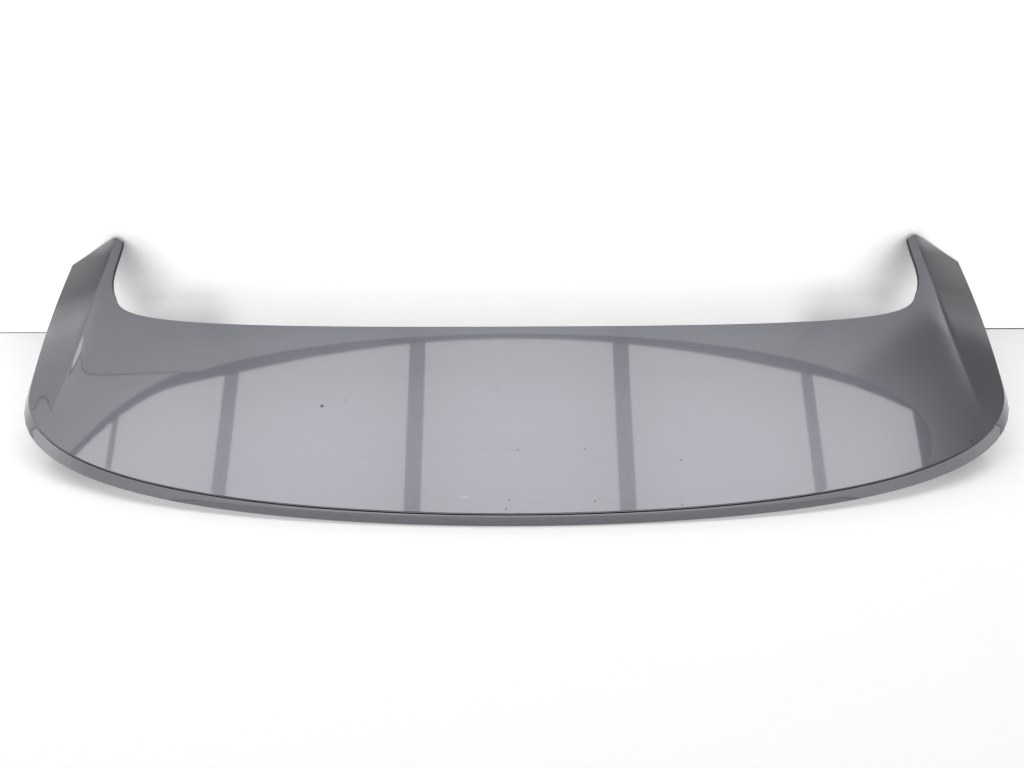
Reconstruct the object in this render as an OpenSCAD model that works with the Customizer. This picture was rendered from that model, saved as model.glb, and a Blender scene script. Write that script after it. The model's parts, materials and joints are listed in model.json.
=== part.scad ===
// Rear roof spoiler: an upper skin bonded over a lower skin, with its seals and fixings.
// x runs across, y towards the front of the car, z up. It stands as it rests on a floor.

/* [Plan outline] */
// Width over the outer edges of the upper skin at the arm tips
skin_w = 1229; // [900:1:1500]
// Depth of the upper skin from the trailing edge to the arm tips
skin_d = 396; // [300:1:500]
// Where the rear corner ends, as a share of the half width
corner_out = 0.929; // [0.85:0.001:0.97]
// Where the rear corner ends, as a share of the depth
corner_fwd = 0.402; // [0.3:0.002:0.5]
// Lean of the side at that point
corner_lean = 13; // [5:0.5:20]
// Pull of the curve on the trailing edge, as a share of the half width
trail_pull = 0.29; // [0.2:0.001:0.5]
// Pull of the curve through the rear corner, as a share of the half width
corner_pull = 0.231; // [0.15:0.001:0.3]
// Lean of the side at the tip
tip_lean = 9.7; // [-4:0.1:15]
// Radius of the outer corner of each tip
tip_r = 2.5; // [1.5:0.5:9]

/* [Bay between the arms] */
// Depth of the blade on the centre line
blade_d = 244; // [180:1:300]
// Half width of the bay where its corner ends, as a share of the half width
bay_out = 0.843; // [0.75:0.001:0.87]
// How far forward the bay's corner ends, as a share of the depth
bay_fwd = 0.77; // [0.7:0.005:0.85]
// Lean of the bay's side there
bay_lean = 32; // [10:1:45]
// Pull of the bay's front edge, as a share of the half width
bay_pull = 0.847; // [0.7:0.001:0.9]
// Pull of the bay's corner
bay_corner_pull = 36; // [20:1:60]
// Half width of the bay at the tips, as a share of the half width
bay_tip = 0.868; // [0.8:0.001:0.88]

/* [Surface] */
// Slope of the blade in degrees
blade_slope = 18.3; // [12:0.1:24]
// How much the blade falls away at 600 mm from the centre
crown = 8; // [0:0.5:20]
// Extra lift of the arm tips
arm_lift = 4; // [0:0.5:20]
// Where the crease meets the rear corner, as a share of the half width
crease_rear = 0.865; // [0.84:0.001:0.9]
// Where the crease meets the tip, as a share of the half width
crease_tip = 0.88; // [0.875:0.001:0.9]
// Height of the crease over the arm at the tip
crease_h = 7; // [2:0.5:10]
// How the crease grows towards the tip
crease_power = 1.5; // [0.5:0.1:3]
// Fall of the side face at the tip
side_fall = 36.5; // [20:0.5:50]
// How the fall grows along the arm
fall_power = 1.9; // [1:0.05:3]

/* [Upper skin] */
// Thickness of the upper skin
skin_t = 3; // [2:0.1:4]
// Its thickness along the outer edge
edge_t = 1.3; // [1:0.1:2]
// Height of the turned edge round the bay
hem_h = 5; // [4:0.5:12]
// Thickness of the turned edge
hem_t = 2.4; // [1.8:0.1:3]

/* [Lower skin] */
// Height of the trailing edge, lip and skin together
lip_h = 15.5; // [11:0.5:22]
// How far the lip stands out under the skin on the centre line
lip_out = 3.6; // [1:0.2:5]
// How far the lip stands out at the rear corners
lip_out_corner = 9; // [3:0.5:10]
// Groove between the skin and the lip
groove = 1; // [0.6:0.1:2]
// Thickness of the lower skin
shell_t = 2.8; // [2:0.1:4]
// Depth of the two skins together at the blade's front edge
front_deep = 34; // [24:1:44]
// The same at the arm tips
tip_deep = 22; // [18:1:30]
// Thickness of the bond between the skins
bond = 0.3; // [0.2:0.05:0.5]
// Thickness of the cross ribs
rib_t = 2.4; // [1.6:0.1:3]
// How far each arm's inner wall leans back under the skin
arm_undercut = 12; // [0:1:16]

/* [Fixings] */
// Distance between neighbouring studs of the blade
stud_pitch = 220; // [150:5:240]
// Height of the mounting face over the lowest point
pad_z = 22; // [18:0.5:30]
// Arm studs, back from the arm tips
arm_stud_back = 78; // [60:1:100]
// Depth of the arms' mounting faces under the surface
arm_pad_deep = 41; // [36:0.5:50]
// Nominal diameter of the studs
stud_d = 6; // [5:1:8]
// Thickness of the foam washers
washer_t = 4; // [2:0.5:6]
// Outer diameter of the stud towers
tower_d = 30; // [26:1:36]
// Half distance of the locating pins
pin_x = 215; // [180:1:260]
// Diameter of the locating pins
pin_d = 8; // [6:0.5:10]
// Rubber buffers, in from the outer edge of the skin
buffer_in = 187; // [160:1:240]
// Rubber buffers, from the trailing edge
buffer_y = 150; // [130:1:170]
// Tip clips, back from the arm tips
clip_back = 30; // [26:1:40]
// Depth of the clips' seats under the surface
clip_deep = 38; // [34:0.5:44]

/* [Seals] */
// Thickness of the rubber edge seal
seal_t = 1; // [0.8:0.1:4]
// Height of the rubber edge seal
seal_h = 3.4; // [3:0.2:8]
// Foam strip, back from the blade's front edge
foam_in = 10; // [8:1:14]
// Width of the foam strip under the blade
foam_w = 10; // [6:1:16]
// Thickness of the foam strip
foam_t = 6; // [4:0.5:10]

/* [Hidden] */

half_w = skin_w / 2;
// the lip's front face is the rearmost point, so the part is centred between it and the tips
mid_y = (skin_d - lip_out) / 2;

// Control points of the outer edge, the rear corner first and then the side
outer_a = [0, 0];
outer_k = [half_w * corner_out, skin_d * corner_fwd];
side_dir = [sin(corner_lean), cos(corner_lean)];
tip_dir = [sin(tip_lean), cos(tip_lean)];
outer_t = [half_w, skin_d];
outer_b = [half_w * trail_pull, 0];
outer_c = outer_k - half_w * corner_pull * side_dir;
side_run = skin_d - outer_k[1];
side_b = outer_k + side_run * 0.27 * side_dir;
side_c = outer_t - side_run * 0.29 * tip_dir;

// Control points of the bay, its front edge and corner first and then the arm
inner_g = [half_w * bay_out, skin_d * bay_fwd];
bay_dir = [sin(bay_lean), cos(bay_lean)];
inner_t = [half_w * bay_tip, skin_d - 3];
arm_run = norm(inner_t - inner_g);
inner_b = [half_w * bay_pull, blade_d];
inner_c = inner_g - bay_corner_pull * bay_dir;
arm_b = inner_g + bay_dir * arm_run / 3;
arm_c = inner_t - (inner_t - inner_g) / 3;

// Depth of the lift and of the crease along the arm
lift_from = skin_d * 0.455;
crease_from = skin_d * 0.29;
fall_from = skin_d * 0.253;
rear_ridge_w = 26;
tip_ridge_w = 8;
edge_in = 8;
hem_in = 2.5;

function unit(v) = v / norm(v);
function bez(a, b, c, d, t) =
  pow(1 - t, 3) * a + 3 * pow(1 - t, 2) * t * b + 3 * (1 - t) * t * t * c + pow(t, 3) * d;
function bez_dir(a, b, c, d, t) =
  unit(pow(1 - t, 2) * (b - a) + 2 * (1 - t) * t * (c - b) + t * t * (d - c));
function clamp(v, a, b) = min(max(v, a), b);
function mix(a, b, t) = a + (b - a) * t;
function ease(t) = t * t * (3 - 2 * t);

// A station runs from 0 on the centre line through 1 and 2 at the two ends of the rear corner to 3 at the tip
function outer_time(p) = p < 1 ? 0.63 * p : 0.63 + 0.37 * (p - 1);
function inner_time(p) = p < 1 ? 0.45 * pow(p, 1.5) : 0.45 + 0.55 * (p - 1);
function outer_raw(p) =
  p <= 2 ? bez(outer_a, outer_b, outer_c, outer_k, outer_time(p))
         : bez(outer_k, side_b, side_c, outer_t, p - 2);
function outer_dir(p) =
  p <= 2 ? bez_dir(outer_a, outer_b, outer_c, outer_k, outer_time(p))
         : bez_dir(outer_k, side_b, side_c, outer_t, p - 2);
// sections turn straight across towards the tip, so that its end is flat
function outer_out(p) =
  let (u = outer_dir(p)) unit(mix([u[1], -u[0]], [1, 0], clamp(2 * (p - 2.5), 0, 1)));
// the tip's outer corner is rounded off over its last few millimetres
function tip_cut(p) =
  let (left = skin_d - outer_raw(p)[1])
  p < 2.5 || left >= tip_r ? 0 : tip_r - sqrt(tip_r * tip_r - pow(tip_r - left, 2));
function outer(p) = outer_raw(p) - tip_cut(p) * outer_out(p);
function inner(p) =
  p <= 2 ? bez([0, blade_d], inner_b, inner_c, inner_g, inner_time(p))
         : bez(inner_g, arm_b, arm_c, inner_t, p - 2);
function inner_dir(p) =
  p <= 2 ? bez_dir([0, blade_d], inner_b, inner_c, inner_g, max(inner_time(p), 0.001))
         : bez_dir(inner_g, arm_b, arm_c, inner_t, p - 2);
// towards the skin, away from the bay
function inner_in(p) = let (u = inner_dir(p)) [u[1], -u[0]];

// Height of the blade without crease or side face
function blade_z(x, y) =
  lip_h + tan(blade_slope) * y - crown * pow(x / 600, 2)
  + arm_lift * pow(max(0, (y - lift_from) / (skin_d - lift_from)), 2);
function crease_x(y) =
  half_w * mix(crease_rear, crease_tip, clamp((y - fall_from) / (skin_d - fall_from), 0, 1));
function fall_at(y) =
  side_fall * pow(clamp((y - fall_from) / (skin_d - fall_from), 0, 1), fall_power);
// the side face is straight, with a round top of this share of its width
round_top = 0.15;
function soft(u) = sqrt(u * u + round_top * round_top) - round_top;
function fall_shape(u) = soft(u) / soft(1);
function side_share(x, y, p) =
  let (c = crease_x(y)) clamp((x - c) / max(outer(p)[0] - c, 8), 0, 1.3);
function plain_z(x, y, p) =
  blade_z(min(x, crease_x(y)), y) - fall_at(y) * fall_shape(side_share(x, y, p));
// The crease stands up on its inner side and dies out at the rear corner
function crease_top(y) =
  crease_h * pow(clamp((y - crease_from) / (skin_d - crease_from), 0, 1), crease_power);
function crease_z(x, y, p) =
  let (c = crease_x(y), t = clamp((y - crease_from) / (skin_d - crease_from), 0, 1),
       w = mix(rear_ridge_w, tip_ridge_w, t) / 2.2, d = max(0, c - x))
  crease_top(y) * exp(-(sqrt(d * d + 16) - 4) / w)
  * (1 - 0.9 * ease(min(1, side_share(x, y, p))));
function top_z(x, y, p) = plain_z(x, y, p) + crease_z(x, y, p);
function edge_z(p) = let (e = outer(p)) top_z(e[0], e[1], p);

// Plan places along a station's line from the outer edge to the bay
function from_outer(p, d) = outer(p) - d * outer_out(p);
function from_inner(p, d) = inner(p) + d * inner_in(p);
// share of that line at which it crosses the crease
function crease_share(p, f) =
  let (a = from_outer(p, edge_in), b = from_inner(p, f),
       k = half_w * (crease_tip - crease_rear) / (skin_d - fall_from),
       c0 = half_w * crease_rear - k * fall_from,
       s = (c0 + k * a[1] - a[0]) / ((b[0] - a[0]) - k * (b[1] - a[1])))
  clamp(a[0] > c0 + k * a[1] ? s : 0, 0.04, 0.97);

// One chain point as [x, y, z], x already on its own side
function at(q, z, side) = [side * q[0], q[1] - mid_y, z];
function on_top(q, p, side, dz) = at(q, top_z(q[0], q[1], p) + dz, side);
function on_plain(q, p, side, dz) = at(q, plain_z(q[0], q[1], p) + dz, side);

// Stations of the skins, from one tip to the other
half_run = concat(
  [for (i = [0:17]) i / 18],
  [for (i = [0:9]) 1 + i / 10],
  [for (i = [0:7]) 2 + i / 8],
  [2.94, 2.962, 2.982, 2.994, 3]);
function both_sides(run) =
  concat([for (i = [len(run) - 1:-1:1]) -run[i]], run);
function side_of(p) = p < 0 ? -1 : 1;

// A closed solid from two chains a station, one over the other
module shell(stations, upper, lower) {
  n = len(upper[0]);
  k = len(stations);
  m = 2 * n;
  pts = [for (i = [0:k - 1]) each concat(upper[i], [for (j = [n - 1:-1:0]) lower[i][j]])];
  walls = [for (i = [0:k - 2]) for (j = [0:m - 1]) let (
      a = i * m + j, b = i * m + (j + 1) % m, c = a + m, d = b + m)
    each [[a, b, d], [a, d, c]]];
  ends = [for (j = [0:n - 2]) let (
      a = j, b = j + 1, c = m - 2 - j, d = m - 1 - j, e = (k - 1) * m)
    each [[a, c, b], [a, d, c], [e + a, e + b, e + c], [e + a, e + c, e + d]]];
  polyhedron(points = pts, faces = concat(walls, ends));
}

// Plan places of the upper skin's columns at one station
side_steps = [0.3, 0.6, 0.85];
main_steps = [0.06, 0.16, 0.32, 0.52, 0.76];
function columns(p) =
  let (a = from_outer(p, edge_in), b = from_inner(p, hem_in + 1.5), s = crease_share(p, hem_in + 1.5))
  concat([a], [for (t = side_steps) mix(a, b, s * t)], [mix(a, b, s)],
         [for (t = main_steps) mix(a, b, s + (1 - s) * t)], [b]);

// The skin's edges are rounded by small steps: distance from the edge and drop
edge_steps = [[0, 0.7], [0.5, 0.15], [2.5, 0]];
hem_steps = [[2, 0], [0.7, 0.2], [0, 0.9]];
thin_to = 4.4;

module upper_skin() {
  run = both_sides(half_run);
  top = [for (q = run) let (p = abs(q), s = side_of(q), f = inner(p))
    concat(
      [for (e = edge_steps) on_top(from_outer(p, e[0]), p, s, -e[1])],
      [for (c = columns(p)) on_top(c, p, s, 0)],
      [for (e = hem_steps) on_top(from_inner(p, e[0]), p, s, -e[1])],
      [at(f, hem_z(p), s)])];
  under = [for (q = run) let (p = abs(q), s = side_of(q), g = from_inner(p, hem_t))
    concat(
      [for (d = [0, 0.9, thin_to]) on_top(from_outer(p, d), p, s, -edge_t)],
      [for (c = columns(p)) on_top(c, p, s, -skin_t)],
      [on_top(from_inner(p, hem_in + 0.6), p, s, -skin_t)],
      [for (d = [0, 2]) on_top(g, p, s, -skin_t - d)],
      [at(g, hem_z(p), s)])];
  color([0.36, 0.36, 0.39]) shell(run, top, under);
}
// lower edge of the turned edge
function hem_z(p) = let (f = inner(p)) top_z(f[0], f[1], p) - hem_h;

// Lower skin. Cross ribs and the tip walls are stations at which the tray is filled up to the bond.
rib_stations = [0.25, 0.62, 1.35, 2.3, 2.62];
rib_half = 0.045 * rib_t / 2.4;
end_wall = 2.972;
function rib_run(c, w) = [[c - w, 0], [c - w * 0.8, 1], [c + w * 0.8, 1], [c + w, 0]];
function is_near(v, list, d) = len([for (c = list) if (abs(c - v) < d) 1]) > 0;
function rib_w(c) = c < 1 ? rib_half * 0.9 : c < 2 ? rib_half * 1.5 : rib_half * 0.55;
tray_half = concat(
  [for (q = half_run) if (q < end_wall && !is_near(q, rib_stations, 0.02)) [q, 0]],
  [for (c = rib_stations) each rib_run(c, rib_w(c))],
  [[end_wall, 0]], [[end_wall + 0.004, 1], [2.99, 1], [3, 1]]);
function sorted(list) =
  len(list) < 2 ? list : let (m = list[floor(len(list) / 2)][0])
  concat(sorted([for (v = list) if (v[0] < m) v]), [for (v = list) if (v[0] == m) v],
         sorted([for (v = list) if (v[0] > m) v]));

tray_steps = [0, 0.12, 0.28, 0.46, 0.64, 0.8, 0.92, 1];
wall_in = hem_t + 0.3;
function lip_step(p) =
  let (e = outer(p), w = pow(clamp(e[0] / (half_w * 0.9), 0, 1), 2),
       t = clamp((e[1] - outer_k[1]) / side_run, 0, 1))
  max(0.8, mix(lip_out, lip_out_corner, w) * (1 - ease(t)));
function front_bottom(p) =
  let (f = inner(p), deep = mix(front_deep, tip_deep, ease(clamp((p - 1) / 2, 0, 1))))
  blade_z(f[0], f[1]) - deep;
// how far the front wall's foot leans in, which it does along the arms only
function foot_in(p) = arm_undercut * ease(clamp((p - 1.6) / 0.9, 0, 1));
// share q from the lip to the front wall
function tray_place(p, q) = mix(from_outer(p, edge_in), from_inner(p, wall_in + 6 + foot_in(p)), q);
function under_z(p, q) = mix(edge_z(p) - lip_h + 0.4, front_bottom(p), q);
// the skin rests on a narrow land along its edge and on the top of the front wall
edge_land = [1.9, 4.2];
lip_r = 1.2;

function tray_inside(p, s, full) =
  let (g = edge_z(p) - edge_t - groove, land = -skin_t - bond,
       w0 = from_outer(p, 4.6), w1 = from_inner(p, wall_in + shell_t + 0.3 + foot_in(p)))
  concat(
    [for (d = [-0.4, 1.4]) at(from_outer(p, d), g, s)],
    [for (d = edge_land) on_plain(from_outer(p, d), p, s, -edge_t - bond)],
    [full ? on_plain(w0, p, s, land - 0.2) : at(w0, edge_z(p) - lip_h + shell_t, s)],
    [for (q = tray_steps) let (c = tray_place(p, q))
      full ? on_plain(c, p, s, land - 0.2) : at(c, under_z(p, q) + shell_t, s)],
    [full ? on_plain(w1, p, s, land - 0.2) : at(w1, front_bottom(p) + shell_t, s)],
    [for (d = [wall_in + shell_t, wall_in]) on_plain(from_inner(p, d), p, s, land)]);

function tray_outside(p, s) =
  let (e = edge_z(p), g = edge_t + groove, o = lip_step(p), b = front_bottom(p), u = wall_in + foot_in(p))
  concat(
    [at(from_outer(p, -0.7), e - g - 0.5, s),
     at(from_outer(p, -mix(0.7, o, 0.55)), e - mix(g, lip_h, 0.5), s),
     at(from_outer(p, -o), e - lip_h + lip_r, s),
     at(from_outer(p, lip_r - o), e - lip_h, s),
     at(from_outer(p, 3), e - lip_h, s)],
    [for (q = tray_steps) at(tray_place(p, q), under_z(p, q), s)],
    [at(from_inner(p, u + 3), b + 0.2, s),
     at(from_inner(p, u + 0.8), b + 1.6, s),
     at(from_inner(p, u), b + 4, s)]);

module tray() {
  half = sorted(tray_half);
  run = concat([for (i = [len(half) - 1:-1:1]) [-half[i][0], half[i][1]]], half);
  inside = [for (r = run) tray_inside(abs(r[0]), side_of(r[0]), r[1] == 1)];
  outside = [for (r = run) tray_outside(abs(r[0]), side_of(r[0]))];
  shell(run, inside, outside);
}

// Station at which a line reaches a depth, found by halving
function station_at(line, y, a = 1, b = 3, n = 24) =
  let (m = (a + b) / 2)
  n == 0 ? m : line(m)[1] < y ? station_at(line, y, m, b, n - 1) : station_at(line, y, a, m, n - 1);
function station_across(x, a = 0, b = 2, n = 24) =
  let (m = (a + b) / 2)
  n == 0 ? m : inner(m)[0] < x ? station_across(x, m, b, n - 1) : station_across(x, a, m, n - 1);
outer_line = function (p) outer(p);
inner_line = function (p) inner(p);
// Middle of the arm and height of its surface
function arm_mid(y) =
  round((outer(station_at(outer_line, y))[0] + inner(station_at(inner_line, y))[0]) / 2);
function arm_z(x, y) = round(plain_z(x, y, station_at(outer_line, y)));

// Height of the tray's underside at the blade's fixings
function under_blade(x, y) =
  mix(-crown * pow(x / 600, 2), blade_z(x, blade_d) - front_deep, y / blade_d);
// the blade's studs stand just behind the foam strip
front_y = min(blade_d, inner(station_across(1.5 * stud_pitch))[1]);
stud_y = floor(front_y - wall_in - foam_in - foam_w - tower_d / 2 - 2);
arm_stud_y = skin_d - arm_stud_back;
arm_stud_x = arm_mid(arm_stud_y);
arm_pad_z = arm_z(arm_stud_x, arm_stud_y) - arm_pad_deep;
stud_places = [
  [-1.5 * stud_pitch, stud_y, pad_z], [-0.5 * stud_pitch, stud_y, pad_z],
  [0.5 * stud_pitch, stud_y, pad_z], [1.5 * stud_pitch, stud_y, pad_z],
  [-arm_stud_x, arm_stud_y, arm_pad_z], [arm_stud_x, arm_stud_y, arm_pad_z]];
arm_tower_h = 23;
function tower_top(c) =
  c[1] == arm_stud_y ? c[2] + arm_tower_h : under_blade(c[0], c[1]) + 9;
pad_t = 4;
wall_t = 2.6;
// the studs' round heads leave room for a socket inside the tower
head_d = tower_d - 2 * wall_t - 4;

module place(c) {
  translate([c[0], c[1] - mid_y, c[2]]) children();
}

module tower(c) {
  h = tower_top(c) - c[2];
  place(c) {
    cylinder(h = h, d = tower_d);
    for (a = [45:90:315])
      rotate([0, 0, a]) translate([tower_d / 2 - 1, -1, 1.5]) cube([7, 2, h - 4]);
  }
}

module tower_bore(c) {
  h = tower_top(c) - c[2];
  place(c) {
    translate([0, 0, pad_t]) cylinder(h = h, d = tower_d - 2 * wall_t);
    translate([0, 0, -1]) cylinder(h = pad_t + 2, d = stud_d + 0.4);
  }
}

pin_l = 14;
module pin(side) {
  top = under_blade(pin_x, stud_y) + 4;
  translate([side * pin_x, stud_y - mid_y, pad_z]) {
    cylinder(h = top - pad_z, d = 2 * pin_d);
    translate([0, 0, -pin_l]) cylinder(h = pin_l + 1, d = pin_d);
  }
}

buffer_x = half_w - buffer_in;
buffer_z = under_blade(buffer_x, buffer_y) - 10;
module buffer_seat(side) {
  translate([side * buffer_x, buffer_y - mid_y, buffer_z]) cylinder(h = 14, d = 20);
}
module buffer_hole(side) {
  translate([side * buffer_x, buffer_y - mid_y, buffer_z - 1]) cylinder(h = 10, d = 8);
}

// Clip tower under each tip, with a slot that takes the clip's collar from the front
clip_y = skin_d - clip_back;
clip_x = arm_mid(clip_y);
clip_z = arm_z(clip_x, clip_y) - clip_deep;
clip_collar = 16;
clip_neck = 8;
module clip_house(side) {
  translate([side * clip_x - 12, clip_y - 12 - mid_y, clip_z]) cube([24, 22, 20]);
}
module clip_slot(side) {
  translate([side * clip_x, clip_y - mid_y, clip_z]) {
    translate([0, 0, 3]) {
      cylinder(h = 2.4, d = clip_collar + 0.6);
      translate([-clip_collar / 2 - 0.3, 0, 0]) cube([clip_collar + 0.6, 30, 2.4]);
    }
    translate([0, 0, -1]) {
      cylinder(h = 5, d = clip_neck + 0.6);
      translate([-clip_neck / 2 - 0.3, 0, 0]) cube([clip_neck + 0.6, 30, 5]);
    }
  }
}

module lower_skin() {
  color([0.30, 0.30, 0.33])
  difference() {
    union() {
      tray();
      for (c = stud_places) tower(c);
      for (s = [-1, 1]) {
        pin(s);
        buffer_seat(s);
        clip_house(s);
      }
    }
    for (c = stud_places) tower_bore(c);
    for (s = [-1, 1]) {
      buffer_hole(s);
      clip_slot(s);
    }
  }
}

seal_in = 1.4;
module front_edge_seal() {
  run = both_sides(half_run);
  function z(p) = let (f = inner(p)) top_z(f[0], f[1], p) - seal_in;
  near = [for (q = run) let (p = abs(q), s = side_of(q))
    [at(from_inner(p, -0.15), z(p), s), at(from_inner(p, -seal_t * 0.6), z(p), s),
     at(from_inner(p, -seal_t), z(p) - 0.6, s)]];
  far = [for (q = run) let (p = abs(q), s = side_of(q), low = z(p) - seal_h)
    [at(from_inner(p, -0.15), low, s), at(from_inner(p, -seal_t * 0.6), low, s),
     at(from_inner(p, -seal_t), low + 0.6, s)]];
  color([0.06, 0.06, 0.06]) shell(run, near, far);
}

module foam_strip() {
  half = [for (i = [0:17]) i / 18];
  run = both_sides(concat(half, [1, 1.1, 1.2]));
  across = [wall_in + foam_in + foam_w, wall_in + foam_in];
  function chain(p, s, dz) = [for (d = across) foam_point(p, s, d, dz)];
  top = [for (q = run) chain(abs(q), side_of(q), -0.2)];
  low = [for (q = run) chain(abs(q), side_of(q), -0.2 - foam_t)];
  color([0.10, 0.10, 0.10]) shell(run, top, low);
}
// place under the tray at a distance from the bay's edge
function foam_point(p, s, d, dz) =
  let (a = tray_place(p, 0), b = tray_place(p, 1), q = 1 - (d - wall_in - 6) / norm(b - a))
  at(mix(a, b, q), under_z(p, q) + dz, s);

// Stud with its head on the pad inside the tower. The rolled thread is thicker than the neck
// that passes through the pad and the washer. The blade's studs end level with the lip.
stud_below = pad_z;
neck_below = washer_t + 0.5;
neck_d = 0.89 * stud_d;
stud_tip = 1;
module stud(c) {
  color([0.62, 0.63, 0.65]) place(c) {
    translate([0, 0, pad_t]) cylinder(h = 2.4, d = head_d);
    translate([0, 0, pad_t]) cylinder(h = 5, d = stud_d + 2);
    translate([0, 0, -neck_below]) cylinder(h = neck_below + pad_t, d = neck_d);
    translate([0, 0, stud_tip - stud_below]) cylinder(h = stud_below - stud_tip - neck_below, d = stud_d);
    translate([0, 0, -stud_below]) cylinder(h = stud_tip, d1 = stud_d - 1.6, d2 = stud_d);
  }
}

module washer(c) {
  color([0.09, 0.09, 0.09]) place([c[0], c[1], c[2] - washer_t])
  difference() {
    cylinder(h = washer_t, d = tower_d - 2);
    translate([0, 0, -1]) cylinder(h = washer_t + 2, d = stud_d + 0.2);
  }
}

// Rubber buffer pushed into its seat by a stem
module buffer(side) {
  half = [[0, -8], [7, -8], [9, -6.5], [10, -4], [10, 0], [3.9, 0], [3.9, 5], [2.4, 7.5], [0, 7.5]];
  color([0.07, 0.07, 0.07]) translate([side * buffer_x, buffer_y - mid_y, buffer_z])
  rotate_extrude() polygon(half);
}

// Push-in clip: collar, neck and a barbed plug
barb_pitch = 3.4;
module tip_clip(side) {
  head = [[0, 5], [clip_collar / 2, 5], [clip_collar / 2, 3.2], [clip_neck / 2, 3.2], [clip_neck / 2, -3.5]];
  barb = [[5.2, -4.5], [5.2, -5.2], [3.2, -6.6], [3.2, -7.4]];
  barbs = [for (i = [0:3]) for (q = barb) q - [0, barb_pitch * i]];
  color([0.80, 0.79, 0.74]) translate([side * clip_x, clip_y - mid_y, clip_z])
  rotate_extrude() polygon(concat(head, barbs, [[1.4, -21], [0, -21]]));
}

module clip_seal(side) {
  color([0.10, 0.10, 0.10]) translate([side * clip_x, clip_y - mid_y, clip_z - 3.2])
  difference() {
    cylinder(h = 3, d = 20);
    translate([0, 0, -1]) cylinder(h = 5, d = clip_neck + 0.5);
  }
}

upper_skin();
lower_skin();
front_edge_seal();
foam_strip();
stud(stud_places[0]);  // stud_outer_left
stud(stud_places[1]);  // stud_inner_left
stud(stud_places[2]);  // stud_inner_right
stud(stud_places[3]);  // stud_outer_right
stud(stud_places[4]);  // stud_arm_left
stud(stud_places[5]);  // stud_arm_right
washer(stud_places[0]);  // washer_outer_left
washer(stud_places[1]);  // washer_inner_left
washer(stud_places[2]);  // washer_inner_right
washer(stud_places[3]);  // washer_outer_right
washer(stud_places[4]);  // washer_arm_left
washer(stud_places[5]);  // washer_arm_right
buffer(-1);  // buffer_left
buffer(1);  // buffer_right
tip_clip(-1);  // tip_clip_left
tip_clip(1);  // tip_clip_right
clip_seal(-1);  // clip_seal_left
clip_seal(1);  // clip_seal_right
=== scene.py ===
"""Looks of the rear roof spoiler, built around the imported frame.

The skins repeat the construction's own curves and height function in finer steps, so that the paint
reflects smoothly. Shape values are in millimetres, from the trailing edge forwards, and are turned into
metres in the row frame when a mesh is made.
"""

import json
import math

import bpy
import numpy as np
from mathutils import Matrix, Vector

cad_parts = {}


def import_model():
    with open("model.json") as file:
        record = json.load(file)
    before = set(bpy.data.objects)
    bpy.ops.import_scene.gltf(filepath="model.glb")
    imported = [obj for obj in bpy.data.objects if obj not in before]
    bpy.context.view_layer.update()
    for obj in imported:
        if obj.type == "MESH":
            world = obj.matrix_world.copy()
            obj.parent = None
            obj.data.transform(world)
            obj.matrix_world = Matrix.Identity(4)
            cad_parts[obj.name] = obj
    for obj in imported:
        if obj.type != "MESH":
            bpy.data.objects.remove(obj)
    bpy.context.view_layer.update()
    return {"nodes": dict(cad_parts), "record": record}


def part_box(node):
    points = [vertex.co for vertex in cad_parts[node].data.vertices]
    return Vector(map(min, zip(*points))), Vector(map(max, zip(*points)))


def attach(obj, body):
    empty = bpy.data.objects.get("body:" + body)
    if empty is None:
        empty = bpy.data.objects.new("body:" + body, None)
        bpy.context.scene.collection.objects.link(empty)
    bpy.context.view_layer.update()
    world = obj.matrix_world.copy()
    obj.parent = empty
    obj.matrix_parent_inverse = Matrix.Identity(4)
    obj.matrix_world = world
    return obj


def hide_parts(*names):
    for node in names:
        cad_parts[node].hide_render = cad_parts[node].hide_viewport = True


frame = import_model()

# Plan outline
SKIN_W, SKIN_D = 1229.0, 396.0
CORNER_OUT, CORNER_FWD, CORNER_LEAN = 0.929, 0.402, 13.0
TRAIL_PULL, CORNER_PULL = 0.29, 0.231
TIP_LEAN, TIP_R = 9.7, 2.5
SIDE_PULL, TIP_PULL = 0.27, 0.29

# Bay between the arms
BLADE_D = 244.0
BAY_OUT, BAY_FWD, BAY_LEAN = 0.843, 0.77, 32.0
BAY_PULL, BAY_CORNER_PULL, BAY_TIP = 0.847, 36.0, 0.868

# Surface
BLADE_SLOPE, CROWN, ARM_LIFT = 18.3, 8.0, 4.0
CREASE_REAR, CREASE_TIP, CREASE_H, CREASE_POWER = 0.865, 0.88, 6.9, 1.4
CREST_SHARE_REAR, CREST_SHARE_TIP, CREST_ROUND = 2.5, 2.4, 2.6
SIDE_FALL, FALL_POWER, ROUND_REAR, ROUND_TIP = 36.5, 1.9, 0.15, 0.05
LIFT_FROM, CREASE_FROM, FALL_FROM = SKIN_D * 0.455, SKIN_D * 0.29, SKIN_D * 0.253
REAR_RIDGE_W, TIP_RIDGE_W = 26.0, 8.0

# Skins
SKIN_T, EDGE_T, HEM_H, HEM_T = 3.0, 1.3, 5.0, 2.4
LIP_H, LIP_OUT = 15.5, 3.6
EDGE_IN = 8.0
EDGE_R = 0.6
THIN_TO = 4.4
HEM_R = 1.6

# Fixings, whose places come from the frame
THREAD_PITCH, THREAD_DEEP, THREAD_STEPS = 1.0, 0.55, 8
STUD_D, NECK_SHARE, HEAD_D, HEAD_H, COLLAR_D, COLLAR_H = 6.0, 0.89, 20.8, 2.4, 8.0, 5.0
STUD_TIP, STUD_SHANK, STUD_TIP_D = 1.0, 17.5, 4.4
WASHER_ROUND = 0.7
TURNS = 56
CLIP_NECK, BUFFER_H, BUFFER_STEM = 8.0, 8.0, 3.9

# Seals
SEAL_T, SEAL_H, SEAL_DROP, SEAL_GAP, SEAL_ROUND = 1.0, 3.4, 1.4, 0.15, 0.45

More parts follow.
